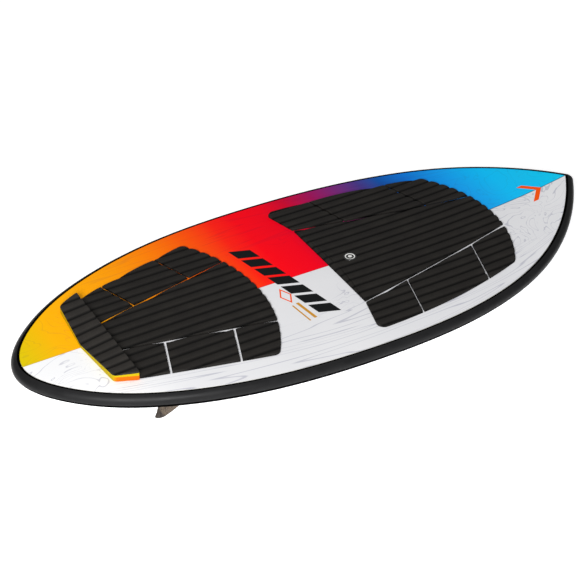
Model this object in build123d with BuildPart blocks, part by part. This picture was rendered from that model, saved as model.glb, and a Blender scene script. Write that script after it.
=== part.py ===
from build123d import *

import os
from math import atan2, cos, degrees, radians, sin, tan

# Wakesurf board. Millimetres, +X towards the nose, +Z up out of the deck, the rider's left rail at +Y.
# The origin is half way along the board, on its centre plane, level with the lowest fin tip.
# A "station" is a distance along the board from the tail end of the deck.

# Board body
DECK_LENGTH = 1181.0
HALF_LENGTH = DECK_LENGTH / 2
DECK_LEVEL = 87.32
LOW_STATION = 567.0
DECK_RISE = (-7.1, -1.3, 19.1, 12.8)
THICKNESS = (34.5, -2.5, -8.5)
DECK_CROWN = 3.5
HULL_ROLL = 1.8
LAYER_HALF_WIDTH = 280.0
SECTION_STATIONS = [-60, 90, 240, 400, 567, 740, 900, 1020, 1120, 1240]
OUTLINE = [
    (0, 0),
    (59, 103),
    (177, 181),
    (354, 236.5),
    (590.5, 256),
    (827, 237.5),
    (1004, 174.5),
    (1063, 134),
    (1122, 78.5),
    (1151.5, 43),
    (DECK_LENGTH, 0),
]
DECK_SKIN = 1.2
HULL_SKIN = 1.5
STRINGER_WIDTH = 4.0
GLUE_LINE = 0.15

# Rail bumper
BUMPER_REACH_MIDDLE = 14.5
BUMPER_REACH_ENDS = 17.0
BUMPER_SECTIONS = 81
TAIL_CROWDING = 1.4

# Kick wedge
KICK_FRONT = 165.0
KICK_REAR_CORNER = 122.0
KICK_APEX = 111.0
KICK_FRONT_HALF = 137.0
KICK_REAR_HALF = 119.0
KICK_HEIGHTS = {"front": 14.5, "corner": 12.5, "apex": 6.0}
KICK_SINK = 4.0
KICK_SHEET = 3.5
KICK_GAP = 1.0

# Traction pads: stations with half widths along the sides, and the stations of the bowed ends
PAD_THICKNESS = 5.0
PAD_CORNER = 14.0
LONG_SLIT = 5.4
SLIT_OVERRUN = 60.0
FRONT_PAD_SIDE = [(604, 219), (768, 207), (941, 169)]
FRONT_PAD_REAR_BOW = 640.0
FRONT_PAD_FRONT_BOW = 995.0
FRONT_PAD_CROSS_SLIT_WIDTH = 3.2
FRONT_PAD_LONG_SLIT = ((633, 135.5), (984, 61.5))
FRONT_PAD_CROSS_SLITS = [((731, 115), (704.5, 214)), ((900, 79.5), (867, 190))]
REAR_PAD_SIDE = [(KICK_FRONT + KICK_GAP, 134), (343, 180), (412, 196)]
REAR_PAD_FRONT_BOW = 472.5
REAR_PAD_CROSS_SLIT_WIDTH = 4.2
REAR_PAD_LONG_SLIT = ((175, 47.4), (454, 108.2))
REAR_PAD_CROSS_SLITS = [((248, 63.3), (220, 146.5)), ((375, 91), (343, 180))]
BADGE_RADIUS = 13.0
BADGE_STATION = 674.0
BADGE_THICKNESS = 1.0

# Fins and their boxes
FIN_DEPTH = 56.0
FIN_CHORD = 95.0
FIN_THICKNESS = 6.0
FIN_LEVELS = [0, 10, 20, 30, 39, 46, 51, 54, 55.5]
FIN_RAKE = 0.10
FIN_SWEEP = 0.0052
FIN_TAPER = 0.7
FIN_TIP_LEVEL = 48.0
FIN_TIP_LENGTH = 8.0
FIN_TIP_ROUNDING = 14.0
FIN_TIP_CHORD = 2.0
LEADING_CURVE = 1.5
LEADING_FULLNESS = 0.85
FOIL_FULLEST = 0.08
TAB_LENGTH = 80.0
TAB_THICKNESS = 5.6
TAB_HEIGHT = 13.0
SLOT_CLEARANCE = 0.3
BOX_LENGTH = 116.0
BOX_WIDTH = 20.0
BOX_HEIGHT = 20.0
HULL_GAP = 0.3
SCREW_RADIUS = 2.5
SCREW_CLEARANCE = 0.1
SCREW_TILT = 35.0
SCREW_TIP_HEIGHT = 6.0
SCREW_LENGTH = 5.0
SOCKET_RADIUS = 1.5
SOCKET_DEPTH = 2.5
FINS = {
    "left": {"station": 245.5, "y": 142.0, "toe": -2.5, "cant": 7.0},
    "right": {"station": 245.5, "y": -142.0, "toe": 2.5, "cant": -7.0},
    "centre": {"station": 142.0, "y": 0.0, "toe": 0.0, "cant": 0.0},
}

os.makedirs("parts", exist_ok=True)


def x_at(station):
    return station - HALF_LENGTH


def along(station):
    """Position along the board, counted from its lowest deck point in half lengths."""
    return (station - LOW_STATION) / HALF_LENGTH


def deck_height(station):
    u = along(station)
    return DECK_LEVEL + sum(rise * u ** (i + 1) for i, rise in enumerate(DECK_RISE))


def thickness(station):
    u = along(station)
    return sum(term * u**i for i, term in enumerate(THICKNESS))


def deck(offset):
    """Deck surface moved up by offset: height on the centre line and at the layer's edge."""
    return lambda station: (deck_height(station) + offset, deck_height(station) + offset - DECK_CROWN)


def hull(offset):
    """Hull surface moved up by offset."""

    def heights(station):
        middle = deck_height(station) - thickness(station) + offset
        return middle, middle + HULL_ROLL

    return heights


def layer_between(lower, upper):
    """Closed solid between two of the board's surfaces, longer and wider than the board."""
    with BuildPart() as layer:
        for station in SECTION_STATIONS:
            low, low_edge = lower(station)
            high, high_edge = upper(station)
            w = LAYER_HALF_WIDTH
            with BuildSketch(Plane.YZ.offset(x_at(station))):
                with BuildLine():
                    ThreePointArc((-w, low_edge), (0, low), (w, low_edge))
                    Line((w, low_edge), (w, high_edge))
                    ThreePointArc((w, high_edge), (0, high), (-w, high_edge))
                    Line((-w, high_edge), (-w, low_edge))
                make_face()
        loft()
    return layer.part


def save(part, name):
    part.label = name
    export_step(part, f"parts/{name}.step")


# Plan shape of the deck inside the bumper: one curve from the nose round the tail and back
left_rail = [(x_at(station), y) for station, y in OUTLINE]
right_rail = [(x, -y) for x, y in reversed(left_rail[1:])]
with BuildLine() as outline:
    Spline(right_rail + left_rail)
rail_line = outline.edges()[0]

with BuildSketch() as deck_shape:
    add(rail_line)
    make_face()

with BuildPart() as planform:
    add(deck_shape)
    extrude(amount=2 * DECK_LEVEL)


# Rail bumper: a rounded strip round the whole board
def bumper_reach(station):
    u = x_at(station) / HALF_LENGTH
    return BUMPER_REACH_MIDDLE + (BUMPER_REACH_ENDS - BUMPER_REACH_MIDDLE) * u**2


def rail_edges(station, y):
    """Heights of the hull's and the deck's edge at a point of the outline."""
    share = (y / LAYER_HALF_WIDTH) ** 2
    top = deck_height(station) - DECK_CROWN * share
    bottom = deck_height(station) - thickness(station) + HULL_ROLL * share
    return bottom, top


def bumper_plane(point, tangent):
    """Upright plane across the rail, its local x pointing outwards and its local y up."""
    outward = Vector(-tangent.Y, tangent.X, 0)
    return Plane(origin=(point.X, point.Y, 0), x_dir=outward, z_dir=outward.cross(Vector(0, 0, 1)))


def bumper_section(plane):
    """Half ellipse standing outwards from the glue line, as high as the board is thick there."""
    station, y = plane.origin.X + HALF_LENGTH, plane.origin.Y
    bottom, top = rail_edges(station, y)
    half = (top - bottom) / 2
    reach = bumper_reach(station) - GLUE_LINE
    with BuildSketch(plane) as section:
        with BuildLine():
            EllipticalCenterArc((GLUE_LINE, bottom + half), reach, half, start_angle=-90, arc_size=180)
            Line((GLUE_LINE, top), (GLUE_LINE, bottom))
        make_face()
    return section.sketch


bumper_sections = []
for i in range(BUMPER_SECTIONS):
    share = (i / (BUMPER_SECTIONS - 1)) ** TAIL_CROWDING
    place = 0.5 + 0.5 * share
    across = bumper_plane(rail_line @ place, rail_line % place)
    bumper_sections.append(bumper_section(across))

nose_tip = rail_line @ 1
nose_way = rail_line % 1
nose_turn = degrees(atan2(nose_way.X, -nose_way.Y))
with BuildPart() as bumper_nose:
    add(bumper_section(bumper_plane(nose_tip, Vector(0, -1, 0))))
    revolve(axis=Axis(nose_tip, (0, 0, 1)), revolution_arc=nose_turn)

with BuildPart() as rail_bumper:
    loft(bumper_sections, ruled=True)
    add(bumper_nose)
    mirror(about=Plane.XZ)
save(rail_bumper.part, "rail_bumper")


# Fin boxes, fins and grub screws, each set on a plane at the hull under its fin
def fin_plane(fin):
    middle, _ = hull(0)(fin["station"])
    toe = radians(fin["toe"])
    origin = (x_at(fin["station"]), fin["y"], middle)
    return Plane(origin=origin, x_dir=(cos(toe), sin(toe), 0), z_dir=(0, 0, 1))


def screw_plane(plane, end):
    """Plane across a grub screw at the slot's front (end 1) or rear (end -1), facing down and outwards."""
    tilt = radians(SCREW_TILT)
    reach = end * (TAB_LENGTH / 2 + SLOT_CLEARANCE)
    tip = plane.from_local_coords(Vector(reach, 0, SCREW_TIP_HEIGHT))
    way = plane.x_dir * (end * sin(tilt)) - plane.z_dir * cos(tilt)
    return Plane(origin=tip, x_dir=plane.y_dir, z_dir=way)


def fin_trailing_edge(depth):
    """Distance of the trailing edge behind the fin's middle: raked back, then rounded at the tip."""
    rounding = FIN_TIP_ROUNDING * (max(depth - FIN_TIP_LEVEL, 0) / FIN_TIP_LENGTH) ** 2
    return -FIN_CHORD / 2 - FIN_RAKE * depth - FIN_SWEEP * depth**2 + rounding


def fin_leading_edge(depth):
    """Distance of the leading edge before the fin's middle: a full curve down to the tip."""
    share = (1 - min(depth / FIN_DEPTH, 1) ** LEADING_CURVE) ** LEADING_FULLNESS
    return -FIN_CHORD / 2 + FIN_TIP_CHORD + (FIN_CHORD - FIN_TIP_CHORD) * share


def foil(plane, depth, cant):
    """Lens shaped section of the blade at a depth below the hull."""
    rear, front = fin_trailing_edge(depth), fin_leading_edge(depth)
    half = FIN_THICKNESS / 2 * (1 - FIN_TAPER * depth / FIN_DEPTH)
    lean = depth * tan(radians(cant))
    middle = (rear + front) / 2 + FOIL_FULLEST * (front - rear)
    with BuildSketch(plane.offset(-depth)) as section:
        with BuildLine():
            ThreePointArc((rear, lean), (middle, lean + half), (front, lean))
            ThreePointArc((front, lean), (middle, lean - half), (rear, lean))
        make_face()
    return section.sketch


board_body = layer_between(hull(0), deck(0))
below_hull = layer_between(hull(-2 * FIN_DEPTH), hull(-HULL_GAP))

box_blocks = {}
for side, fin in FINS.items():
    plane = fin_plane(fin)
    slot_length = TAB_LENGTH + 2 * SLOT_CLEARANCE
    slot_width = TAB_THICKNESS + 2 * SLOT_CLEARANCE
    slot_top = TAB_HEIGHT + SLOT_CLEARANCE

    with BuildPart() as block:
        with BuildSketch(plane.offset(-BOX_HEIGHT)):
            SlotOverall(BOX_LENGTH, BOX_WIDTH)
        extrude(amount=2 * BOX_HEIGHT)
    box_blocks[side] = block.part

    with BuildPart() as slot_space:
        with BuildSketch(plane.offset(-BOX_HEIGHT)):
            SlotOverall(slot_length, slot_width)
        extrude(amount=BOX_HEIGHT + slot_top)

    with BuildPart() as fin_box:
        add(block)
        add(board_body, mode=Mode.INTERSECT)
        add(slot_space, mode=Mode.SUBTRACT)
        for end in (1, -1):
            with BuildSketch(screw_plane(plane, end).offset(-SCREW_RADIUS / 2)):
                Circle(SCREW_RADIUS + SCREW_CLEARANCE)
            extrude(amount=BOX_HEIGHT, mode=Mode.SUBTRACT)
    save(fin_box.part, f"fin_box_{side}")

    with BuildPart() as screws:
        for end in (1, -1):
            tip_plane = screw_plane(plane, end)
            with BuildSketch(tip_plane.offset(-SCREW_RADIUS / 2)):
                Circle(SCREW_RADIUS)
            extrude(amount=SCREW_LENGTH + SCREW_RADIUS / 2)
            with BuildSketch(tip_plane.offset(SCREW_LENGTH)):
                RegularPolygon(SOCKET_RADIUS, 6)
            extrude(amount=-SOCKET_DEPTH, mode=Mode.SUBTRACT)
        with BuildSketch(plane.offset(-BOX_HEIGHT)):
            SlotOverall(slot_length + SLOT_CLEARANCE, slot_width + SLOT_CLEARANCE)
        extrude(amount=BOX_HEIGHT + slot_top, mode=Mode.SUBTRACT)
    save(screws.part, f"fin_screws_{side}")

    with BuildPart() as blade:
        loft([foil(plane, level, fin["cant"]) for level in FIN_LEVELS])
        add(below_hull, mode=Mode.INTERSECT)

    with BuildPart() as fin_part:
        add(blade)
        with BuildSketch(plane.offset(-2 * HULL_GAP - HULL_SKIN)):
            SlotOverall(TAB_LENGTH, TAB_THICKNESS)
        extrude(amount=TAB_HEIGHT + 2 * HULL_GAP + HULL_SKIN)
    save(fin_part.part, f"fin_{side}")


# Foam core in two halves, the stringer between them and the glass skins
with BuildPart() as core_space:
    add(planform)
    core_layer = layer_between(hull(HULL_SKIN + GLUE_LINE), deck(-DECK_SKIN - GLUE_LINE))
    add(core_layer, mode=Mode.INTERSECT)
    for block in box_blocks.values():
        add(block, mode=Mode.SUBTRACT)

with BuildPart() as stringer_space:
    with BuildSketch():
        Rectangle(2 * DECK_LENGTH, STRINGER_WIDTH)
    extrude(amount=2 * DECK_LEVEL)

with BuildPart() as stringer:
    add(core_space)
    add(stringer_space, mode=Mode.INTERSECT)
save(stringer.part, "stringer")

with BuildPart() as core_halves:
    add(core_space)
    add(stringer_space, mode=Mode.SUBTRACT)
for name, half in zip(("foam_core_right", "foam_core_left"), core_halves.solids().sort_by(Axis.Y)):
    with BuildPart() as core_half:
        add(half)
    save(core_half.part, name)

with BuildPart() as deck_laminate:
    add(planform)
    add(layer_between(deck(-DECK_SKIN), deck(0)), mode=Mode.INTERSECT)
save(deck_laminate.part, "deck_laminate")

with BuildPart() as hull_laminate:
    add(planform)
    add(layer_between(hull(0), hull(HULL_SKIN)), mode=Mode.INTERSECT)
    for block in box_blocks.values():
        add(block, mode=Mode.SUBTRACT)
save(hull_laminate.part, "hull_laminate")


# Traction pads: a centre panel with three panels each side, cut apart by narrow slits
pad_layer = layer_between(deck(0), deck(PAD_THICKNESS))


def slit(start, end, width, overrun):
    """Strip from one station and y to another, run on past its two ends."""
    a = Vector(x_at(start[0]), start[1])
    b = Vector(x_at(end[0]), end[1])
    way = (b - a).normalized()
    a, b = a - way * overrun[0], b + way * overrun[1]
    plane = Plane(origin=(a + b) * 0.5, x_dir=way, z_dir=(0, 0, 1))
    with BuildSketch(plane) as strip:
        Rectangle((b - a).length, width)
    return strip.sketch


def cut_pad(outline, long_slit, cross_slits, cross_width):
    """Pad of the given plan shape, cut by slits on both sides of the centre line."""
    with BuildPart() as pad:
        with BuildSketch():
            add(outline)
        extrude(amount=2 * DECK_LEVEL)
        add(pad_layer, mode=Mode.INTERSECT)
        strips = [slit(*long_slit, width=LONG_SLIT, overrun=(SLIT_OVERRUN, SLIT_OVERRUN))]
        strips += [slit(*ends, width=cross_width, overrun=(0, SLIT_OVERRUN)) for ends in cross_slits]
        for strip in strips:
            with BuildSketch():
                add(strip)
                mirror(about=Plane.XZ)
            extrude(amount=2 * DECK_LEVEL, mode=Mode.SUBTRACT)
    return pad


def save_panels(pad, prefix):
    centre = pad.solids().sort_by(lambda solid: abs(solid.center().Y))[0]
    with BuildPart() as panel:
        add(centre)
    save(panel.part, f"{prefix}_centre")
    for side, sign in (("left", 1), ("right", -1)):
        outer = [s for s in pad.solids() if s.center().Y * sign > 1]
        for place, solid in zip(("rear", "middle", "front"), ShapeList(outer).sort_by(Axis.X)):
            with BuildPart() as panel:
                add(solid)
            save(panel.part, f"{prefix}_{side}_{place}")


def side_points(side):
    """The left side of a pad from rear to front, and its right side from front to rear."""
    left = [(x_at(station), half) for station, half in side]
    right = [(x, -half) for x, half in reversed(left)]
    return left, right


front_left, front_right = side_points(FRONT_PAD_SIDE)
with BuildSketch() as front_outline:
    with BuildLine():
        Spline(front_left)
        ThreePointArc(front_left[-1], (x_at(FRONT_PAD_FRONT_BOW), 0), front_right[0])
        Spline(front_right)
        ThreePointArc(front_right[-1], (x_at(FRONT_PAD_REAR_BOW), 0), front_left[0])
    make_face()
    fillet(front_outline.vertices(), PAD_CORNER)
front_pad = cut_pad(
    front_outline.sketch, FRONT_PAD_LONG_SLIT, FRONT_PAD_CROSS_SLITS, FRONT_PAD_CROSS_SLIT_WIDTH
)
save_panels(front_pad, "front_pad")

rear_left, rear_right = side_points(REAR_PAD_SIDE)
with BuildSketch() as rear_outline:
    with BuildLine():
        Spline(rear_left)
        ThreePointArc(rear_left[-1], (x_at(REAR_PAD_FRONT_BOW), 0), rear_right[0])
        Spline(rear_right)
        Line(rear_right[-1], rear_left[0])
    make_face()
    fillet(rear_outline.vertices().group_by(Axis.X)[-1], PAD_CORNER)
rear_pad = cut_pad(
    rear_outline.sketch, REAR_PAD_LONG_SLIT, REAR_PAD_CROSS_SLITS, REAR_PAD_CROSS_SLIT_WIDTH
)
save_panels(rear_pad, "rear_pad")

with BuildPart() as pad_badge:
    with BuildSketch():
        with Locations((x_at(BADGE_STATION), 0)):
            Circle(BADGE_RADIUS)
    extrude(amount=2 * DECK_LEVEL)
    add(
        layer_between(deck(PAD_THICKNESS), deck(PAD_THICKNESS + BADGE_THICKNESS)),
        mode=Mode.INTERSECT,
    )
save(pad_badge.part, "pad_badge")


# Kick wedge: straight front wall, vee shaped rear edge, lower along the centre line than at its corners
def kick_half(lower, upper):
    """Left half of a wedge between two surfaces, each given by its heights over the deck."""
    front_deck, rear_deck = deck_height(KICK_FRONT), deck_height(KICK_APEX)
    rear_way = Vector(KICK_REAR_CORNER - KICK_APEX, KICK_REAR_HALF, 0)
    rear_width = rear_way.length
    front_plane = Plane(origin=(x_at(KICK_FRONT), 0, 0), x_dir=(0, 1, 0), z_dir=(1, 0, 0))
    rear_plane = Plane(
        origin=(x_at(KICK_APEX), 0, 0),
        x_dir=rear_way,
        z_dir=rear_way.cross(Vector(0, 0, 1)),
    )
    with BuildPart() as half:
        with BuildSketch(rear_plane):
            with BuildLine():
                Polyline(
                    (0, rear_deck + lower["apex"]),
                    (rear_width, rear_deck + lower["corner"]),
                    (rear_width, rear_deck + upper["corner"]),
                    (0, rear_deck + upper["apex"]),
                    close=True,
                )
            make_face()
        with BuildSketch(front_plane):
            with BuildLine():
                Polyline(
                    (0, front_deck + lower["front"]),
                    (KICK_FRONT_HALF, front_deck + lower["front"]),
                    (KICK_FRONT_HALF, front_deck + upper["front"]),
                    (0, front_deck + upper["front"]),
                    close=True,
                )
            make_face()
        loft(ruled=True)
    return half


kick_bottom = {place: -KICK_SINK for place in KICK_HEIGHTS}
kick_top = {place: height + KICK_SHEET for place, height in KICK_HEIGHTS.items()}

with BuildPart() as kick_base:
    add(kick_half(kick_bottom, KICK_HEIGHTS))
    mirror(about=Plane.XZ)
    add(board_body, mode=Mode.SUBTRACT)
save(kick_base.part, "kick_base")

with BuildPart() as kick_sheet:
    add(kick_half(KICK_HEIGHTS, kick_top))
    mirror(about=Plane.XZ)
save(kick_sheet.part, "kick_sheet")
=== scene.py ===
"""Wakesurf board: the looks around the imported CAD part.

Metres, in the CAD's frame: +X towards the nose, +Y towards the left rail, +Z up out of the deck.
The pads, the kick, the rail bumper and the badge are made here, in place of their CAD solids. The
skins, cores, stringer, fins, boxes and screws keep their CAD shapes and get materials.
"""

import math

import bmesh
import bpy
import numpy as np
from mathutils import Matrix, Vector
from mathutils.bvhtree import BVHTree
from mathutils.geometry import delaunay_2d_cdt


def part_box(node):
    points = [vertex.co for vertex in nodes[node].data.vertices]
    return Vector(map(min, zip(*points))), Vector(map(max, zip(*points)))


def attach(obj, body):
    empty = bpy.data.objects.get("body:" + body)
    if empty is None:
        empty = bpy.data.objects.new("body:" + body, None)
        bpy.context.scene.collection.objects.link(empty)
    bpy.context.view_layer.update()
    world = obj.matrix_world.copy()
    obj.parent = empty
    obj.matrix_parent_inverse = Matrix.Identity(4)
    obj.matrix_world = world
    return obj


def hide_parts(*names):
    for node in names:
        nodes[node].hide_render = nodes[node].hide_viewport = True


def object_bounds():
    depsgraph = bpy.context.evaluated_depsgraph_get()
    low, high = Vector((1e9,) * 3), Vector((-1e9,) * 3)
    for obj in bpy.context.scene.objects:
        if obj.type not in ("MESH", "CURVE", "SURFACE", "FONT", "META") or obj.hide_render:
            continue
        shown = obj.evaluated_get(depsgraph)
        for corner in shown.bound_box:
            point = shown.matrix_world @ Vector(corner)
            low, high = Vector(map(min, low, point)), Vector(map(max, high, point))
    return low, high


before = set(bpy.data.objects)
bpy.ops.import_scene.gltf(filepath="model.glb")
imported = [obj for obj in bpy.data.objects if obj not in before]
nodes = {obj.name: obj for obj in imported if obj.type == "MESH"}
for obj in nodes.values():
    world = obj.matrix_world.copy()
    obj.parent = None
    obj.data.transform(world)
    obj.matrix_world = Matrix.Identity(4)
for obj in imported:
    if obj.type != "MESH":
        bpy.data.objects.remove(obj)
CAD_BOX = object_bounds()

MM = 0.001

# Traction foam: ribs along the board, with a groove on its centre line. RIB_LINES places the grid
# lines over half a rib, from its crest, 0, to its groove, 1. EDGE_RINGS, the rings of corners inside
# the outline, and GRID_CLEARANCE, from the outline to the grid, are counted in edge radii.
RIB_PITCH = {"front_pad": 21.5 * MM, "rear_pad": 22.7 * MM, "kick_sheet": 23.8 * MM}
RIB_DEPTH = 3.5 * MM
KICK_RIB_DEPTH = 2.8 * MM
RIB_SHARPNESS = 2.6
RIB_LINES = (0.0, 0.28, 0.52, 0.72, 0.86, 0.95, 1.0)
PAD_EDGE_RADIUS = 1.2 * MM
EDGE_RINGS = (0.2, 0.55, 1.1, 2.0)
GRID_STEP = 8.0 * MM
GRID_CLEARANCE = 3.0
OUTLINE_STEP = 2.2 * MM
CDT_SCALE = 1000
SMALLEST_TURN = 1e-13
WELD_DISTANCE = 1e-7
GLUE_GAP = 0.02 * MM
SHEET_GAP = 0.03 * MM

# Kick wedge
KICK_REAR_CORNER = 12.0 * MM
KICK_FRONT_CORNER = 3.0 * MM
SHEET_EDGE_RADIUS = 1.0 * MM
BASE_EDGE_RADIUS = 0.6 * MM

# Rail bumper: angles go round its section in degrees, 0 outwards and 90 up. Above the upper angle
# and below the lower one it is black: painted shade of the gap at the deck and of the underside.
RAIL_SAMPLES = 260
TIP_SAMPLES = 14
SECTION_SAMPLES = 22
LIP_REACH = 0.56 * MM
LIP_DEPTH = 2.4 * MM
LIP_ANGLE = 80.0
UPPER_SHADE_ANGLE = 74.0
LOWER_SHADE_ANGLE = -8.0

# Badge: its section from the middle out, as shares of the radius and millimetres over a level that
# is BADGE_DATUM under the middle of the CAD badge. The last point is its underside, BADGE_SINK under
# the CAD badge. The ring and the dot are radii.
BADGE_SECTION = [
    (0.00, 1.10),
    (0.30, 1.02),
    (0.46, 0.80),
    (0.56, 0.66),
    (0.66, 0.66),
    (0.76, 0.95),
    (0.84, 1.15),
    (0.92, 1.15),
    (0.98, 0.90),
    (1.00, 0.50),
    (1.00, -0.20),
]
BADGE_DATUM = 0.5 * MM
BADGE_SINK = 0.6 * MM
BADGE_SIDES = 64
BADGE_RING = 8.8 * MM
BADGE_RING_HALF_WIDTH = 1.1 * MM
BADGE_DOT = 4.0 * MM
BADGE_EDGE = 0.2 * MM

# Fins: the part of the blade where the honeycomb core shows
FIN_CORE_HALF = (36.0 * MM, 30.0 * MM)
FIN_CORE_BACK = 8.0 * MM
FIN_CORE_RISE = 0.3

# Floor and lights: each light's name, place, the point it is aimed at, its size and its power
FLOOR_HALF_SIZE = 14.0
FLOOR_GAP = 0.4 * MM
FLOOR_GLOW = 0.5
SKY_STRENGTH = 0.2
LIGHTS = [
    ("key", (-2.1, -2.6, 2.0), (-0.1, 0, 0.1), (1.6, 1.2), 180),
    ("overhead", (-0.2, 0.3, 2.6), (0, 0, 0), (3.0, 3.0), 20),
]

# Camera
CAMERA_PLACE = (-1.3687, -2.3879, 2.0215)
CAMERA_AZIMUTH = -29.032
CAMERA_ELEVATION = 35.794
CAMERA_ROLL = -0.624
CAMERA_LENS = 108.888
CAMERA_SENSOR = 36.0


# ---------------------------------------------------------------- reading shapes from the frame


def corners(node):
    return np.array([v.co for v in nodes[node].data.vertices], float)


def surface_fit(node, up):
    """Smooth height z(x, y) through a CAD node's upward (or downward) facing corners."""
    mesh = nodes[node].data
    chosen = set()
    for face in mesh.polygons:
        if face.normal.z * up > 0.8:
            chosen.update(face.vertices)
    co = corners(node)[sorted(chosen)]

    def terms(x, y):
        return np.stack([x**power for power in range(7)] + [y**2, x * y**2], axis=-1)

    factors = np.linalg.lstsq(terms(co[:, 0], co[:, 1]), co[:, 2], rcond=None)[0]
    return lambda x, y: terms(np.asarray(x, float), np.asarray(y, float)) @ factors


def top_tree(node):
    """Search tree of a CAD node's upward facing faces."""
    mesh = nodes[node].data
    faces = [tuple(f.vertices) for f in mesh.polygons if f.normal.z > 0.5]
    return BVHTree.FromPolygons([v.co for v in mesh.vertices], faces)


def top_height(node):
    """Height z(x, y) of a CAD node's upper faces."""
    tree = top_tree(node)
    middle = sum(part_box(node), Vector()) / 2

    def height(x, y):
        found = [tree.ray_cast(Vector((a, b, 1)), Vector((0, 0, -1)))[0] for a, b in zip(x, y)]
        for i, (a, b) in enumerate(zip(x, y)):
            if found[i] is None:
                found[i] = tree.find_nearest(Vector((a, b, middle.z)))[0]
        return np.array([p.z for p in found])

    return height


def top_loop(node):
    """The corners round a CAD node's upper face, counterclockwise, as an N by 2 array."""
    mesh = nodes[node].data
    co = corners(node)
    keys = [tuple(k) for k in np.round(co[:, :2] * 1e5).astype(int)]
    place = dict(zip(keys, co[:, :2]))
    used = {}
    for face in mesh.polygons:
        if face.normal.z > 0.5:
            ring = [keys[i] for i in face.vertices]
            for a, b in zip(ring, ring[1:] + ring[:1]):
                used[(a, b)] = used.get((a, b), 0) + 1
    after = {a: b for a, b in used if (b, a) not in used and a != b}
    start = next(iter(after))
    loop, at = [start], after[start]
    while at != start:
        loop.append(at)
        at = after[at]
    return np.array([place[k] for k in loop])


# ---------------------------------------------------------------- plan outlines


def refined(loop, step):
    """The loop with its long runs divided, and points closer than a tenth of the step dropped."""
    points = []
    for a, b in zip(loop, np.roll(loop, -1, axis=0)):
        length = np.linalg.norm(b - a)
        if length < step / 10:
            continue
        parts = max(1, math.ceil(length / step))
        points += [a + (b - a) * k / parts for k in range(parts)]
    return np.array(points)


def rounded(loop, radii):
    """The loop with its sharp corners replaced by arcs of about these radii."""
    points = []
    count = len(loop)
    for i, radius in enumerate(radii):
        before, at, after = loop[i - 1], loop[i], loop[(i + 1) % count]
        back, on = before - at, after - at
        lengths = np.linalg.norm(back), np.linalg.norm(on)
        back, on = back / lengths[0], on / lengths[1]
        half = math.acos(np.clip(back @ on, -1, 1)) / 2
        reach = min(radius / math.tan(half), lengths[0] / 2, lengths[1] / 2)
        if half > math.radians(84):
            points.append(at)
            continue
        a, b = at + back * reach, at + on * reach
        for t in np.linspace(0, 1, 9):
            points.append((1 - t) ** 2 * a + 2 * t * (1 - t) * at + t**2 * b)
    return np.array(points)


def distance_to(loop, points):
    """Distance of each point from the closed loop."""
    a = loop
    way = np.roll(loop, -1, axis=0) - loop
    length2 = (way**2).sum(1)
    result = np.empty(len(points))
    for start in range(0, len(points), 1000):
        p = points[start : start + 1000, None, :] - a[None]
        t = np.clip((p * way).sum(2) / length2, 0, 1)
        result[start : start + 1000] = np.sqrt(((p - t[..., None] * way) ** 2).sum(2)).min(1)
    return result


def inside(loop, points):
    """Whether each point is inside the closed loop."""
    x, y = points[:, 0, None], points[:, 1, None]
    x0, y0 = loop[:, 0], loop[:, 1]
    x1, y1 = np.roll(x0, -1), np.roll(y0, -1)
    crosses = (y0 > y) != (y1 > y)
    reach = (x1 - x0) * (y - y0) / np.where(y1 == y0, 1, y1 - y0) + x0
    return (crosses & (x < reach)).sum(1) % 2 == 1


def inset(loop, amount):
    """Points of the loop moved inwards, without those that come too near another stretch."""
    way = np.roll(loop, -1, axis=0) - np.roll(loop, 1, axis=0)
    way /= np.linalg.norm(way, axis=1)[:, None]
    moved = loop + np.stack([-way[:, 1], way[:, 0]], 1) * amount
    keep = inside(loop, moved) & (distance_to(loop, moved) > 0.93 * amount)
    return moved[keep]


# ---------------------------------------------------------------- meshes


def new_object(name, mesh, body, replaced=(), sharp=40):
    """A finished piece: smooth shading with sharp edges, riding on its CAD body."""
    mesh.polygons.foreach_set("use_smooth", [True] * len(mesh.polygons))
    mesh.set_sharp_from_angle(angle=math.radians(sharp))
    obj = bpy.data.objects.new(name, mesh)
    bpy.context.scene.collection.objects.link(obj)
    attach(obj, body)
    if replaced:
        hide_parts(*replaced)
    return obj


def rib_height(y, pitch):
    """0 on a rib's crest and -1 in a groove. A groove runs along the centre line."""
    across = np.abs((np.asarray(y) / pitch) % 1 - 0.5) * 2
    return -(across**RIB_SHARPNESS)


def rib_rows(low, high, pitch):
    """The y of grid lines between low and high, close together in the grooves."""
    rows = []
    for k in range(math.floor(low / pitch) - 1, math.ceil(high / pitch) + 2):
        for share in RIB_LINES:
            rows += [pitch * (k + 0.5 + share / 2), pitch * (k + 0.5 - share / 2)]
    rows = np.unique(np.round(rows, 7))
    return rows[(rows > low) & (rows < high)]


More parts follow.
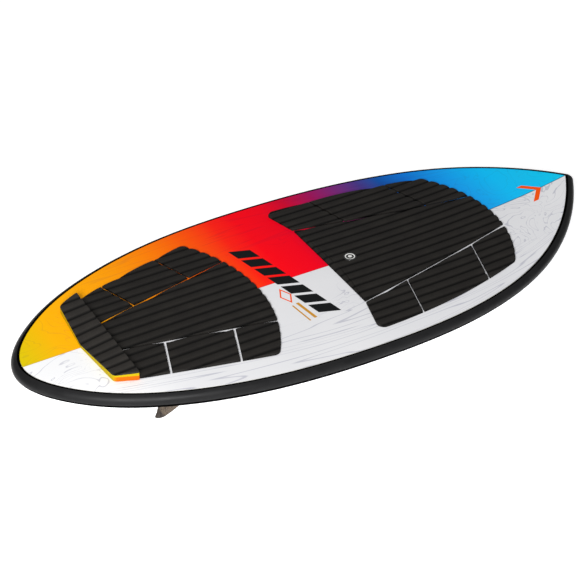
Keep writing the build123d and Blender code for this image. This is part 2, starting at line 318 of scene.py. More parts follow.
def slab(loop, bottom, top, pitch, rib_depth, radius):
    """Closed foam sheet of this plan shape between two heights, ribbed, with a rounded top edge."""
    loop = refined(loop, OUTLINE_STEP)
    rings = [inset(loop, radius * share) for share in EDGE_RINGS]
    low, high = loop.min(0), loop.max(0)
    columns = np.arange(math.ceil(low[0] / GRID_STEP), high[0] / GRID_STEP) * GRID_STEP
    rows = rib_rows(low[1], high[1], pitch)
    grid = np.stack(np.meshgrid(columns, rows), -1).reshape(-1, 2)
    grid = grid[inside(loop, grid)]
    grid = grid[distance_to(loop, grid) > GRID_CLEARANCE * radius]
    points = np.concatenate([loop] + rings + [grid])
    flat, _, faces, *_ = delaunay_2d_cdt(
        [Vector(p * CDT_SCALE) for p in points], [], [list(range(len(loop)))], 1, 1e-4, False
    )
    flat = np.array([tuple(v) for v in flat]) / CDT_SCALE
    x, y = flat[:, 0], flat[:, 1]
    near = np.minimum(distance_to(loop, flat), radius)
    drop = radius - np.sqrt(np.maximum(radius**2 - (radius - near) ** 2, 0))
    upper = np.column_stack([x, y, top(x, y) + rib_depth * rib_height(y, pitch) - drop])
    lower = np.column_stack([x, y, bottom(x, y)])
    count = len(flat)
    tops = []
    for face in faces:
        a, b, c = (flat[i] for i in face)
        turn = (b[0] - a[0]) * (c[1] - a[1]) - (b[1] - a[1]) * (c[0] - a[0])
        if abs(turn) > SMALLEST_TURN:
            tops.append(tuple(face) if turn > 0 else tuple(reversed(face)))
    edges = {(f[i], f[(i + 1) % 3]) for f in tops for i in range(3)}
    rim = [(a, b) for a, b in edges if (b, a) not in edges]
    bottoms = [tuple(i + count for i in reversed(f)) for f in tops]
    walls = [(a + count, b + count, b, a) for a, b in rim]
    mesh = bpy.data.meshes.new("slab")
    mesh.from_pydata(np.concatenate([upper, lower]).tolist(), [], tops + bottoms + walls)
    return tidy_mesh(mesh)


def tidy_mesh(mesh):
    """Removes unused and doubled corners."""
    shape = bmesh.new()
    shape.from_mesh(mesh)
    bmesh.ops.delete(shape, geom=[v for v in shape.verts if not v.link_faces], context="VERTS")
    bmesh.ops.remove_doubles(shape, verts=shape.verts, dist=WELD_DISTANCE)
    bmesh.ops.recalc_face_normals(shape, faces=shape.faces)
    shape.to_mesh(mesh)
    shape.free()
    return mesh


# ---------------------------------------------------------------- node materials


class Value:
    """A number worked out by a material's nodes, so that a pattern reads as a formula."""

    def __init__(self, tree, socket):
        self.tree, self.socket = tree, socket

    def math(self, operation, *others, clamp=False):
        node = self.tree.nodes.new("ShaderNodeMath")
        node.operation = operation
        node.use_clamp = clamp
        for socket, value in zip(node.inputs, (self, *others)):
            if isinstance(value, Value):
                self.tree.links.new(value.socket, socket)
            else:
                socket.default_value = value
        return Value(self.tree, node.outputs[0])

    def __add__(self, other):
        return self.math("ADD", other)

    def __sub__(self, other):
        return self.math("SUBTRACT", other)

    def __mul__(self, other):
        return self.math("MULTIPLY", other)

    def __abs__(self):
        return self.math("ABSOLUTE")

    def most(self, other):
        return self.math("MAXIMUM", other)

    def power(self, exponent):
        return self.math("POWER", exponent)

    def fraction(self):
        return self.math("FRACT")

    def ramp(self, start, end, low=0.0, high=1.0, smooth=True):
        """Goes from low, at start, to high, at end."""
        node = self.tree.nodes.new("ShaderNodeMapRange")
        node.interpolation_type = "SMOOTHSTEP" if smooth else "LINEAR"
        self.tree.links.new(self.socket, node.inputs["Value"])
        settings = {"From Min": start, "From Max": end, "To Min": low, "To Max": high}
        for name, value in settings.items():
            node.inputs[name].default_value = value
        return Value(self.tree, node.outputs[0])

    def below(self, limit, soft):
        """1 where the number is under the limit, 0 where it is over."""
        return self.ramp(limit - soft, limit + soft, 1.0, 0.0)


class Material:
    """A material under construction: its shader, its coordinates and its patterns."""

    def __init__(self, name, roughness=0.5, metallic=0.0, **settings):
        self.material = bpy.data.materials.new(name)
        self.material.use_nodes = True
        self.tree = self.material.node_tree
        self.shader = self.tree.nodes["Principled BSDF"]
        self.set("Roughness", roughness)
        self.set("Metallic", metallic)
        for socket, value in settings.items():
            self.set(socket.replace("_", " "), value)
        self.place = self.tree.nodes.new("ShaderNodeTexCoord").outputs["Object"]
        parts = self.tree.nodes.new("ShaderNodeSeparateXYZ")
        self.tree.links.new(self.place, parts.inputs[0])
        self.x, self.y, self.z = (Value(self.tree, s) for s in parts.outputs)

    def set(self, socket, value):
        if isinstance(value, Value):
            self.tree.links.new(value.socket, self.shader.inputs[socket])
        elif hasattr(value, "is_output"):
            self.tree.links.new(value, self.shader.inputs[socket])
        else:
            self.shader.inputs[socket].default_value = value

    def stretched(self, scale):
        node = self.tree.nodes.new("ShaderNodeMapping")
        node.inputs["Scale"].default_value = scale
        self.tree.links.new(self.place, node.inputs["Vector"])
        return node.outputs[0]

    def point(self, *values):
        """The place with these numbers as its coordinates. One that is left out is 0."""
        node = self.tree.nodes.new("ShaderNodeCombineXYZ")
        for socket, value in zip(node.inputs, values):
            self.tree.links.new(value.socket, socket)
        return node.outputs[0]

    def noise(self, scale, detail=2.0, roughness=0.5, distortion=0.0, stretch=None, at=None):
        node = self.tree.nodes.new("ShaderNodeTexNoise")
        at = at or (self.stretched(stretch) if stretch else self.place)
        self.tree.links.new(at, node.inputs["Vector"])
        node.inputs["Scale"].default_value = scale
        node.inputs["Detail"].default_value = detail
        node.inputs["Roughness"].default_value = roughness
        node.inputs["Distortion"].default_value = distortion
        return Value(self.tree, node.outputs[0])

    def cells(self, scale, feature="F1", stretch=None):
        node = self.tree.nodes.new("ShaderNodeTexVoronoi")
        node.feature = feature
        node.inputs["Scale"].default_value = scale
        at = self.stretched(stretch) if stretch else self.place
        self.tree.links.new(at, node.inputs["Vector"])
        return Value(self.tree, node.outputs["Distance"])

    def mix(self, factor, a, b):
        """Colour a where factor is 0 and colour b where it is 1."""
        node = self.tree.nodes.new("ShaderNodeMix")
        node.data_type = "RGBA"
        self.tree.links.new(factor.socket, node.inputs[0])
        for socket, colour in zip((node.inputs[6], node.inputs[7]), (a, b)):
            if hasattr(colour, "is_output"):
                self.tree.links.new(colour, socket)
            else:
                socket.default_value = (*colour, 1)
        return node.outputs[2]

    def colour_ramp(self, value, stops):
        node = self.tree.nodes.new("ShaderNodeValToRGB")
        self.tree.links.new(value.socket, node.inputs[0])
        elements = node.color_ramp.elements
        while len(elements) < len(stops):
            elements.new(0.5)
        for element, (place, colour) in zip(elements, stops):
            element.position = place
            element.color = (*colour, 1)
        return node.outputs[0]

    def bump(self, height, distance, strength=1.0):
        node = self.tree.nodes.new("ShaderNodeBump")
        node.inputs["Strength"].default_value = strength
        node.inputs["Distance"].default_value = distance
        self.tree.links.new(height.socket, node.inputs["Height"])
        self.tree.links.new(node.outputs[0], self.shader.inputs["Normal"])


def srgb(red, green, blue):
    """A screen colour, 0 to 255, as the linear colour that a shader takes."""
    channels = (c / 255 for c in (red, green, blue))
    return tuple(c / 12.92 if c <= 0.04045 else ((c + 0.055) / 1.055) ** 2.4 for c in channels)


def block_mask(x, y, centre, half, slant=0.0, lean=0.0, soft=0.35 * MM):
    """1 inside a block: slant moves it along y as x grows, and lean moves it along x as y grows."""
    dx = abs(x - centre[0] - (y - centre[1]) * lean)
    dy = abs(y - centre[1] - (x - centre[0]) * slant)
    return dx.below(half[0], soft) * dy.below(half[1], soft)


# The deck's fade: distance from the tail end, as a share of its length, and the printed colour
FADE = [
    (0.00, srgb(216, 196, 4)),
    (0.075, srgb(252, 180, 4)),
    (0.12, srgb(255, 176, 4)),
    (0.22, srgb(253, 155, 2)),
    (0.30, srgb(254, 124, 3)),
    (0.36, srgb(254, 88, 5)),
    (0.42, srgb(254, 34, 18)),
    (0.46, srgb(252, 4, 22)),
    (0.515, srgb(244, 0, 28)),
    (0.56, srgb(206, 3, 48)),
    (0.61, srgb(160, 18, 90)),
    (0.655, srgb(122, 40, 120)),
    (0.70, srgb(70, 56, 136)),
    (0.735, srgb(14, 82, 166)),
    (0.78, srgb(4, 116, 214)),
    (0.84, srgb(12, 158, 238)),
    (0.90, srgb(2, 188, 245)),
    (1.00, srgb(6, 197, 236)),
]
BLACK_PRINT = srgb(22, 24, 25)
ORANGE_PRINT = srgb(240, 84, 14)
GOLD_PRINT = srgb(196, 140, 52)
# Painted shade for the bottoms of the foam's rib grooves
PAINTED_GROOVE_SHADE = srgb(6, 6, 6)

# Marks printed on the deck: metres from its tail end, and across from its centre line
BLOCK_COUNT = 7
BLOCK_FIRST = (0.5045, 0.114)
BLOCK_PITCH = 0.0378
BLOCK_HALF = (0.0185, 0.0138)
BLOCK_SLANT = -0.35
BLOCK_LEAN = -0.21
DIAMOND_PLACE = (0.507, -0.046)
DIAMOND_HALF = (0.0105, 0.022)
DIAMOND_LINE = 0.15
# Each gold line: its centre, its half sizes and its lean
GOLD_LINES = [
    ((0.5190, -0.1035), (0.0030, 0.028), -0.15),
    ((0.5065, -0.107), (0.0016, 0.028), -0.12),
]
CHEVRON_STATION = 1.116
CHEVRON_SLOPE = 0.9
CHEVRON_HALF_WIDTH = 0.0062
CHEVRON_HALF_SPAN = 0.030
SEAM_PLACE = 0.7 * MM
SEAM_HALF_WIDTH = 1.0 * MM

# How soft a printed edge is, and distances from the centre line: the band where the contours give
# way to grain, and the edge of the hull's fade
PRINT_EDGE = 0.4 * MM
GRAIN_BAND = (0.115, 0.145)
HULL_FADE_EDGE = 0.13
HULL_FADE_SOFT = 2.0 * MM


def line_art(m):
    """Faint printed lines, 1 on a line: long grain near the rails, map-like contours elsewhere."""
    across = m.y + m.x.power(2) * 0.3 * m.y.ramp(-0.05, 0.05, -1.0, 1.0)
    along_rail = m.point(m.x * 0.9, across * 14.0)
    grain_field = m.noise(1.0, detail=2.5, roughness=0.6, distortion=0.5, at=along_rail) * 19
    grain = abs(grain_field.fraction() - 0.5).below(0.06, 0.045)
    flat = (1.0, 1.0, 0.2)
    map_field = m.noise(9.0, detail=2.5, roughness=0.55, distortion=1.4, stretch=flat) * 10
    contour = abs(map_field.fraction() - 0.5).below(0.05, 0.03)
    near_rail = abs(m.y).ramp(*GRAIN_BAND)
    patches = m.noise(4.3, detail=1.0).ramp(0.46, 0.56)
    return grain * near_rail + contour * (near_rail * -1 + 1) * patches


def deck_marks(m, station, colour):
    """Plain marks printed on the deck: a row of blocks, a diamond, two lines and a chevron."""
    blocks = None
    for k in range(BLOCK_COUNT):
        y = BLOCK_FIRST[1] - BLOCK_PITCH * k
        centre = (BLOCK_FIRST[0] + BLOCK_LEAN * (y - BLOCK_FIRST[1]), y)
        block = block_mask(station, m.y, centre, BLOCK_HALF, slant=BLOCK_SLANT, lean=BLOCK_LEAN)
        blocks = block if blocks is None else blocks.most(block)
    colour = m.mix(blocks, colour, BLACK_PRINT)
    reach = abs(station - DIAMOND_PLACE[0]) * (1 / DIAMOND_HALF[0])
    reach = reach + abs(m.y - DIAMOND_PLACE[1]) * (1 / DIAMOND_HALF[1])
    colour = m.mix(abs(reach - 1.0).below(DIAMOND_LINE, 0.04), colour, ORANGE_PRINT)
    for centre, half, lean in GOLD_LINES:
        colour = m.mix(block_mask(station, m.y, centre, half, lean=lean), colour, GOLD_PRINT)
    away = abs(station - CHEVRON_STATION + abs(m.y) * CHEVRON_SLOPE)
    stripe = away.below(CHEVRON_HALF_WIDTH, PRINT_EDGE)
    stripe = stripe * abs(m.y).below(CHEVRON_HALF_SPAN, PRINT_EDGE)
    return m.mix(stripe, colour, ORANGE_PRINT)


def deck_print():
    """Satin printed deck: colour fade on the left half, pale on the right with painted light making
    it lighter towards the tail, and plain marks.
    """
    low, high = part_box("deck_laminate")
    m = Material("deck_print", roughness=0.4, Specular_IOR_Level=0.05)
    station = m.x - low.x
    along = station * (1 / (high.x - low.x))
    art = line_art(m)
    mottle = m.noise(5.0, detail=4.0)
    fade = m.colour_ramp(along, FADE)
    fade = m.mix(mottle.ramp(0.3, 0.75) * 0.04, fade, srgb(120, 40, 60))
    fade = m.mix(art * 0.1, fade, srgb(40, 20, 60))
    # Painted light: the pale half is lighter towards the tail end, as if lit more strongly there
    pale = m.mix(along.ramp(0.05, 0.24), srgb(250, 250, 250), srgb(222, 222, 224))
    pale = m.mix(mottle.ramp(0.35, 0.7) * 0.3, pale, srgb(206, 207, 212))
    pale = m.mix(art * 0.42, pale, srgb(132, 134, 158))
    colour = m.mix(m.y.ramp(-0.25 * MM, 0.25 * MM), pale, fade)
    seam = abs(m.y - SEAM_PLACE).below(SEAM_HALF_WIDTH, PRINT_EDGE)
    colour = m.mix(seam * along.ramp(0.6, 0.8, 0.25, 0.75), colour, srgb(8, 60, 78))
    m.set("Base Color", deck_marks(m, station, colour))
    m.set("Roughness", m.noise(40.0, detail=6.0).ramp(0.3, 0.7, 0.36, 0.46))
    m.bump(m.noise(900.0, detail=2.0) * 0.4 + m.noise(14.0, detail=1.0), 0.00006, 0.35)
    return m.material


def hull_print():
    """Gloss bottom: pale with the same faint line art and a fade towards the left rail."""
    low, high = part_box("hull_laminate")
    m = Material("hull_print", roughness=0.2, Coat_Weight=0.5, Coat_Roughness=0.08)
    along = (m.x - low.x) * (1 / (high.x - low.x))
    fade = m.colour_ramp(along, FADE)
    mottle = m.noise(4.0, detail=4.0)
    pale = m.mix(mottle.ramp(0.35, 0.7), srgb(232, 233, 236), srgb(224, 226, 229))
    pale = m.mix(line_art(m) * 0.3, pale, srgb(150, 152, 172))
    wave = m.y + m.noise(3.0, detail=1.0) * 0.05
    edge = wave.ramp(HULL_FADE_EDGE - HULL_FADE_SOFT, HULL_FADE_EDGE + HULL_FADE_SOFT)
    m.set("Base Color", m.mix(edge, pale, fade))
    m.set("Roughness", m.noise(60.0, detail=5.0).ramp(0.3, 0.7, 0.16, 0.26))
    m.bump(m.noise(20.0, detail=1.0), 0.0001, 0.3)
    return m.material


def foam(name, dark, light, roughness, grain, specular=0.12, worn=0.5, pitch=None):
    """Closed-cell foam: fine cells and faint mottling. With a rib pitch, painted shade darkens its
    grooves.
    """
    m = Material(name, roughness=roughness, Specular_IOR_Level=specular)
    blotch = m.noise(28.0, detail=4.0, roughness=0.6)
    speck = m.noise(1400.0, detail=1.0)
    tone = blotch.ramp(0.3, 0.75) * worn + speck.ramp(0.35, 0.75) * (1 - worn)
    colour = m.mix(tone, dark, light)
    if pitch:
        # Painted shade: the colour darkens towards each rib groove, where shade falls
        groove = abs((m.y * (1 / pitch)).fraction() - 0.5).ramp(0.26, 0.47)
        colour = m.mix(groove * 0.9, colour, PAINTED_GROOVE_SHADE)
    m.set("Base Color", colour)
    m.set("Roughness", blotch.ramp(0.3, 0.7, roughness - 0.06, roughness + 0.06))
    m.bump(m.cells(grain) * 0.7 + speck * 0.6, 0.00012, 0.6)
    return m.material


def kick_foam():
    """Coloured foam of the wedge: yellow, with orange low on its two end faces."""
    low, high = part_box("kick_base")
    m = Material("kick_foam", roughness=0.72, Specular_IOR_Level=0.12)
    speck = m.noise(1300.0, detail=1.0)
    height = (m.z - low.z) * (1 / (high.z - low.z))
    end = abs(m.y).ramp(high.y - 24 * MM, high.y - 14 * MM)
    lower = height.ramp(0.68, 0.56) * end
    warm = m.mix(lower, srgb(184, 162, 4), srgb(206, 98, 4))
    m.set("Base Color", m.mix(speck.ramp(0.4, 0.8) * 0.18, warm, srgb(140, 86, 8)))
    m.bump(m.cells(900.0) * 0.8 + speck * 0.4, 0.00012, 0.6)
    return m.material


def fin_fibre(x0, x1, z0, z1):
    """Smoky composite with a honeycomb core showing in the middle of the blade."""
    m = Material("fin_fibre", roughness=0.3, Specular_IOR_Level=0.2)
    m.set("Coat Weight", 0.08)
    m.set("Coat Roughness", 0.1)
    weave = m.noise(220.0, detail=3.0)
    comb = m.cells(260.0, feature="DISTANCE_TO_EDGE", stretch=(1.0, 0.05, 1.0))
    wall = comb.below(0.055, 0.03)
    middle_x, middle_z = (x0 + x1) / 2 - FIN_CORE_BACK, z0 + (z1 - z0) * FIN_CORE_RISE
    reach_x = abs(m.x - middle_x) * (1 / FIN_CORE_HALF[0])
    reach_z = abs(m.z - middle_z) * (1 / FIN_CORE_HALF[1])
    core = (reach_x.power(2) + reach_z.power(2)).below(1.0, 0.12)
    body = m.mix(weave.ramp(0.3, 0.7), srgb(40, 34, 29), srgb(52, 45, 38))
    colour = m.mix(core, body, srgb(92, 80, 67))
    colour = m.mix(core * wall * 0.85, colour, srgb(26, 20, 17))
    m.set("Base Color", colour)
    m.set("Roughness", weave.ramp(0.3, 0.7, 0.26, 0.36))
    m.bump(weave + m.noise(900.0) * 0.3, 0.00005, 0.4)
    return m.material


def moulded_plastic():
    """Dark moulded plastic of the fin boxes."""
    m = Material("box_plastic", roughness=0.5)
    flow = m.noise(60.0, detail=4.0)
    m.set("Base Color", m.mix(flow.ramp(0.3, 0.7), srgb(30, 30, 32), srgb(42, 42, 44)))
    m.set("Roughness", flow.ramp(0.3, 0.7, 0.42, 0.58))
    m.bump(m.noise(1500.0, detail=2.0), 0.00008, 0.5)
    return m.material


def steel():
    """Brushed steel of the fin screws."""
    m = Material("screw_steel", roughness=0.3, metallic=1.0)
    brush = m.noise(500.0, detail=3.0, stretch=(1.0, 1.0, 12.0))
    m.set("Base Color", m.mix(brush.ramp(0.3, 0.7), srgb(176, 176, 178), srgb(212, 212, 214)))
    m.set("Roughness", brush.ramp(0.3, 0.7, 0.22, 0.42))
    m.bump(brush, 0.00003, 0.4)
    return m.material


def core_foam():
    """Pale beaded foam of the core."""
    m = Material("core_foam", roughness=0.8)
    beads = m.cells(260.0, feature="DISTANCE_TO_EDGE")
    m.set("Base Color", m.mix(beads.ramp(0.0, 0.12), srgb(205, 200, 186), srgb(240, 237, 226)))
    m.set("Roughness", beads.ramp(0.0, 0.12, 0.9, 0.72))
    m.bump(beads, 0.0003, 0.5)
    return m.material


def stringer_wood():
    """Wood of the stringer: grain along the board, and plies stacked in height."""
    m = Material("stringer_wood", roughness=0.6)
    grain = m.noise(60.0, detail=6.0, distortion=0.4, stretch=(0.12, 1.0, 2.2))
    plies = (m.z * 900).fraction().below(0.5, 0.08)
    tone = grain.ramp(0.3, 0.7) * 0.8 + plies * 0.2
    m.set("Base Color", m.mix(tone, srgb(150, 104, 60), srgb(206, 164, 112)))
    m.set("Roughness", grain.ramp(0.3, 0.7, 0.5, 0.7))
    m.bump(grain, 0.0001, 0.5)
    return m.material


def badge_resin(centre):
    """Satin resin disc with a pale ring and a pale dot."""
    m = Material("badge_resin", roughness=0.35, Coat_Weight=0.3)
    across = ((m.x - centre.x).power(2) + abs(m.y - centre.y).power(2)).power(0.5)
    grain = m.noise(700.0, detail=2.0)
    ring = abs(across - BADGE_RING).below(BADGE_RING_HALF_WIDTH, BADGE_EDGE)
    ring = ring.most(across.below(BADGE_DOT, BADGE_EDGE))
    base = m.mix(grain.ramp(0.3, 0.7), srgb(26, 26, 26), srgb(38, 38, 37))
    m.set("Base Color", m.mix(ring * 0.92, base, srgb(232, 232, 228)))
    m.set("Roughness", grain.ramp(0.3, 0.7, 0.3, 0.42))
    m.bump(grain, 0.00004, 0.4)
    return m.material


def paint(obj, material):
    obj.data.materials.clear()
    obj.data.materials.append(material)


# ---------------------------------------------------------------- the board


deck_top = surface_fit("deck_laminate", 1)
hull_bottom = surface_fit("hull_laminate", -1)
deck_outline = top_loop("deck_laminate")

PAD_NODES = [n for n in sorted(nodes) if "_pad_" in n]


def on_deck(x, y):
    """Height of a foam piece's underside, just over the deck."""
    return deck_top(x, y) + GLUE_GAP


def pad_top(node):
    """Height of the ribs' crests: the CAD pad's thickness over the smooth deck."""
    co = corners(node)
    thick = np.max(co[:, 2] - deck_top(co[:, 0], co[:, 1]))
    return lambda x, y: deck_top(x, y) + thick


def make_pads(materials):
    """The pieces of the front and rear pads, ribbed."""
    for node in PAD_NODES:
        pad_name = node.partition("_pad")[0] + "_pad"
        pitch = RIB_PITCH[pad_name]
        mesh = slab(top_loop(node), on_deck, pad_top(node), pitch, RIB_DEPTH, PAD_EDGE_RADIUS)
        pad = new_object(f"{node}_ribbed", mesh, "board", [node])
        paint(pad, materials[pad_name])


def make_kick(sheet_material, base_material):
    """The wedge at the tail and its ribbed top sheet."""
    loop = simplified(top_loop("kick_sheet"))
    front = loop[:, 0] > loop[:, 0].max() - KICK_FRONT_CORNER
    loop = rounded(loop, np.where(front, KICK_FRONT_CORNER, KICK_REAR_CORNER))
    pitch = RIB_PITCH["kick_sheet"]
    base_top = top_height("kick_base")
    sheet_top = top_height("kick_sheet")

    def sheet_bottom(x, y):
        return base_top(x, y) + SHEET_GAP

    base = slab(loop, on_deck, base_top, pitch, 0.0, BASE_EDGE_RADIUS)
    base = new_object("kick_base_foam", base, "board", ["kick_base"])
    paint(base, base_material)
    sheet = slab(loop, sheet_bottom, sheet_top, pitch, KICK_RIB_DEPTH, SHEET_EDGE_RADIUS)
    sheet = new_object("kick_sheet_ribbed", sheet, "board", ["kick_sheet"])
    paint(sheet, sheet_material)


def simplified(loop):
    """The loop's real corners only: points in line with their neighbours are dropped."""
    kept = []
    for i, at in enumerate(loop):
        back, on = at - loop[i - 1], loop[(i + 1) % len(loop)] - at
        turn = abs(back[0] * on[1] - back[1] * on[0]) / (np.linalg.norm(back) * np.linalg.norm(on))
        if turn > 0.02:
            kept.append(at)
    return np.array(kept)


def smooth_side(points, count):
    """Points at even steps along a smooth curve through the given ones."""
    steps = np.linalg.norm(np.diff(points, axis=0), axis=1) ** 0.5
    knots = np.concatenate([[0], np.cumsum(steps)])
    slopes = np.gradient(points, knots, axis=0)
    fine = np.linspace(0, knots[-1], count * 8)
    i = np.clip(np.searchsorted(knots, fine, side="right") - 1, 0, len(knots) - 2)
    span = (knots[i + 1] - knots[i])[:, None]
    t = ((fine - knots[i]) / (knots[i + 1] - knots[i]))[:, None]
    curve = (
        (2 * t**3 - 3 * t**2 + 1) * points[i]
        + (t**3 - 2 * t**2 + t) * span * slopes[i]
        + (3 * t**2 - 2 * t**3) * points[i + 1]
        + (t**3 - t**2) * span * slopes[i + 1]
    )
    reach = np.concatenate([[0], np.cumsum(np.linalg.norm(np.diff(curve, axis=0), axis=1))])
    even = np.linspace(0, reach[-1], count)
    return np.stack([np.interp(even, reach, curve[:, k]) for k in (0, 1)], 1)


def rail_stations():
    """Places round the deck's edge, tail to nose and back, and the outward way at each."""
    left = deck_outline[deck_outline[:, 1] > 1e-5]
    left = left[np.argsort(np.arctan2(left[:, 1], left[:, 0]))[::-1]]
    low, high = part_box("deck_laminate")
    left = np.concatenate([[[low.x, 0]], left, [[high.x, 0]]])
    side = smooth_side(left, RAIL_SAMPLES)
    way = np.gradient(side, axis=0)
    way /= np.linalg.norm(way, axis=1)[:, None]
    out = np.stack([-way[:, 1], way[:, 0]], 1)
    out[0] = (-1, 0)
    turn = math.atan2(out[-1][1], out[-1][0])
    tip = [(math.cos(a), math.sin(a)) for a in np.linspace(turn, 0, TIP_SAMPLES)][1:]
    places = np.concatenate([side, np.repeat(side[-1:], len(tip), 0)])
    ways = np.concatenate([out, tip])
    mirror = np.array([1, -1])
    return (
        np.concatenate([places, (places * mirror)[-2:0:-1]]),
        np.concatenate([ways, (ways * mirror)[-2:0:-1]]),
    )


def make_bumper(material, shade_band_material):
    """Soft strip round the rail: half an ellipse with a rolled lip along the deck and the hull."""
    deck_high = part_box("deck_laminate")[1]
    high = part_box("rail_bumper")[1]
    end_reach, side_reach = high.x - deck_high.x, high.y - deck_high.y
    places, ways = rail_stations()
    x, y = places[:, 0], places[:, 1]
    top, bottom = deck_top(x, y), hull_bottom(x, y)
    reach = side_reach + (end_reach - side_reach) * (x / deck_high.x) ** 2
    middle, half = (top + bottom) / 2, (top - bottom) / 2
    joint, lip = np.zeros_like(x), np.full_like(x, LIP_REACH)
    section = [(joint, top - LIP_DEPTH), (lip, top - LIP_DEPTH / 2)]
    lip_points = len(section)
    angles = np.linspace(LIP_ANGLE, -LIP_ANGLE, SECTION_SAMPLES)
    for angle in np.radians(angles):
        section.append((reach * math.cos(angle), middle + half * math.sin(angle)))
    section += [(lip, bottom + LIP_DEPTH / 2), (joint, bottom + LIP_DEPTH)]
    verts = []
    for out, z in section:
        verts += np.column_stack([places + ways * out[:, None], z]).tolist()
    count, rings = len(places), len(section)
    faces = []
    for r in range(rings):
        s = (r + 1) % rings
        for i in range(count):
            j = (i + 1) % count
            faces.append((r * count + i, r * count + j, s * count + j, s * count + i))
    mesh = bpy.data.meshes.new("bumper")
    mesh.from_pydata(verts, [], faces)
    bumper = new_object("rail_bumper_foam", tidy_mesh(mesh), "board", ["rail_bumper"])
    paint(bumper, material)
    # Painted shade: the lip, the top edge and the underside take the black material, for the gap at
    # the deck and the underside where no light reaches
    bumper.data.materials.append(shade_band_material)
    first = count * (lip_points + int((angles > UPPER_SHADE_ANGLE).sum()))
    last = count * (lip_points + int((angles > LOWER_SHADE_ANGLE).sum()))
    for face in bumper.data.polygons:
        if face.index < first or face.index >= last:
            face.material_index = 1


def make_badge():
    """Low disc with a raised rim and a domed middle, set on the centre rib."""
    low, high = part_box("pad_badge")
    centre = (low + high) / 2
    radius = (high.x - low.x) / 2
    floor = low.z - BADGE_SINK
    count = BADGE_SIDES
    tilt = (deck_top(high.x, centre.y) - deck_top(low.x, centre.y)) / (high.x - low.x)
    verts = [(centre.x, centre.y, centre.z + BADGE_SECTION[0][1] * MM - BADGE_DATUM)]
    for share, rise in BADGE_SECTION[1:]:
        for k in range(count):
            a = 2 * math.pi * k / count
            dx, dy = radius * share * math.cos(a), radius * share * math.sin(a)
            z = centre.z + rise * MM - BADGE_DATUM if rise > 0 else floor
            verts.append((centre.x + dx, centre.y + dy, z + dx * float(tilt)))
    rings = len(BADGE_SECTION) - 1
    faces = [(0, 1 + k, 1 + (k + 1) % count) for k in range(count)]
    for r in range(rings - 1):
        a, b = 1 + r * count, 1 + (r + 1) * count
        for k in range(count):
            on = (k + 1) % count
            faces.append((a + k, b + k, b + on, a + on))
    last = 1 + (rings - 1) * count
    faces.append(tuple(last + k for k in reversed(range(count))))
    mesh = bpy.data.meshes.new("badge")
    mesh.from_pydata(verts, [], faces)
    badge = new_object("pad_badge_disc", tidy_mesh(mesh), "board", ["pad_badge"])
    paint(badge, badge_resin(centre))


def ribbed_foam(part, dark, light):
    """The dark foam of one pad, or of the kick's top sheet."""
    return foam(f"{part}_foam", dark, light, 0.6, 1100.0, specular=0.1, pitch=RIB_PITCH[part])


pad_foams = {
    part: ribbed_foam(part, srgb(30, 28, 27), srgb(41, 39, 36)) for part in ("front_pad", "rear_pad")
}
kick_sheet_foam = ribbed_foam("kick_sheet", srgb(39, 37, 35), srgb(51, 48, 45))
bumper_foam = foam("bumper_foam", srgb(21, 21, 22), srgb(28, 28, 29), 0.45, 1500.0, specular=0.16)
# Near-black, no specular: painted shade of the bumper's gap at the deck and of its underside
bumper_shade_foam = foam("bumper_painted_shade", srgb(3, 3, 3), srgb(7, 7, 7), 0.7, 1500.0, specular=0.0)
make_pads(pad_foams)
make_kick(kick_sheet_foam, kick_foam())
make_bumper(bumper_foam, bumper_shade_foam)
make_badge()

paint(nodes["deck_laminate"], deck_print())
paint(nodes["hull_laminate"], hull_print())
paint(nodes["stringer"], stringer_wood())
core = core_foam()
plastic, metal = moulded_plastic(), steel()
for name in ("foam_core_left", "foam_core_right"):
    paint(nodes[name], core)
for side in ("left", "right", "centre"):
    paint(nodes[f"fin_box_{side}"], plastic)
    paint(nodes[f"fin_screws_{side}"], metal)
    low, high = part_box(f"fin_{side}")
    paint(nodes[f"fin_{side}"], fin_fibre(low.x, high.x, low.z, high.z))


# ---------------------------------------------------------------- floor, light and camera


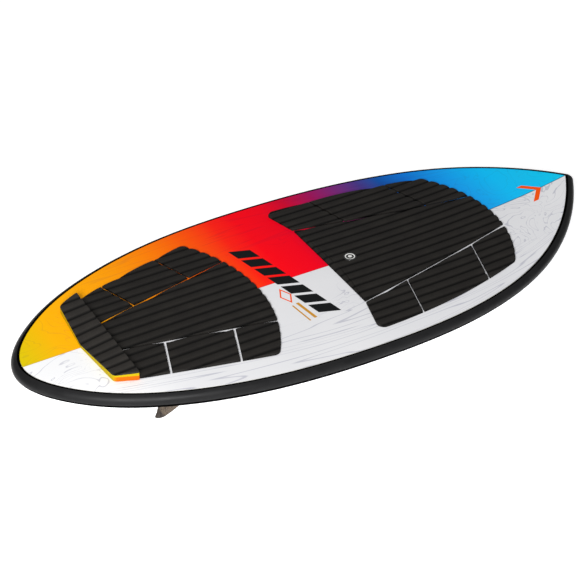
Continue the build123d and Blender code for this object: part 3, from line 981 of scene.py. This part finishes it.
def make_floor():
    """Plain pale floor, just under the fins' tips."""
    m = Material("floor", roughness=0.9)
    tone = m.noise(2.0, detail=3.0)
    m.set("Base Color", m.mix(tone.ramp(0.3, 0.7), (0.93, 0.93, 0.93), (0.95, 0.95, 0.95)))
    m.set("Emission Color", (1, 1, 1, 1))
    m.set("Emission Strength", FLOOR_GLOW)
    mesh = bpy.data.meshes.new("floor")
    size, level = FLOOR_HALF_SIZE, CAD_BOX[0].z - FLOOR_GAP
    mesh.from_pydata(
        [(-size, -size, level), (size, -size, level), (size, size, level), (-size, size, level)],
        [],
        [(0, 1, 2, 3)],
    )
    floor = bpy.data.objects.new("floor", mesh)
    bpy.context.scene.collection.objects.link(floor)
    paint(floor, m.material)


def area_light(name, place, target, size, power):
    """Rectangular soft light aimed at a point."""
    data = bpy.data.lights.new(name, "AREA")
    data.shape = "RECTANGLE"
    data.size, data.size_y = size
    data.energy = power
    lamp = bpy.data.objects.new(name, data)
    bpy.context.scene.collection.objects.link(lamp)
    lamp.location = place
    lamp.rotation_euler = (Vector(target) - Vector(place)).to_track_quat("-Z", "Y").to_euler()


def make_sky():
    """Even white light from all round."""
    world = bpy.data.worlds.new("studio")
    bpy.context.scene.world = world
    world.use_nodes = True
    background = world.node_tree.nodes["Background"]
    background.inputs["Color"].default_value = (1, 1, 1, 1)
    background.inputs["Strength"].default_value = SKY_STRENGTH


def make_camera():
    """Camera at the photo's angle."""
    azimuth, elevation, roll = map(math.radians, (CAMERA_AZIMUTH, CAMERA_ELEVATION, CAMERA_ROLL))
    back = Vector(
        (
            math.sin(azimuth) * math.cos(elevation),
            -math.cos(azimuth) * math.cos(elevation),
            math.sin(elevation),
        )
    )
    right = Vector((0, 0, 1)).cross(back).normalized()
    up = back.cross(right)
    turned = math.cos(roll) * right + math.sin(roll) * up
    upright = math.cos(roll) * up - math.sin(roll) * right
    data = bpy.data.cameras.new("camera")
    data.lens = CAMERA_LENS
    data.sensor_width = CAMERA_SENSOR
    camera = bpy.data.objects.new("camera", data)
    bpy.context.scene.collection.objects.link(camera)
    axes = Matrix((turned, upright, back)).transposed().to_4x4()
    camera.matrix_world = Matrix.Translation(CAMERA_PLACE) @ axes
    bpy.context.scene.camera = camera


make_floor()
for light in LIGHTS:
    area_light(*light)
make_sky()
bpy.context.scene.view_settings.view_transform = "Standard"
make_camera()
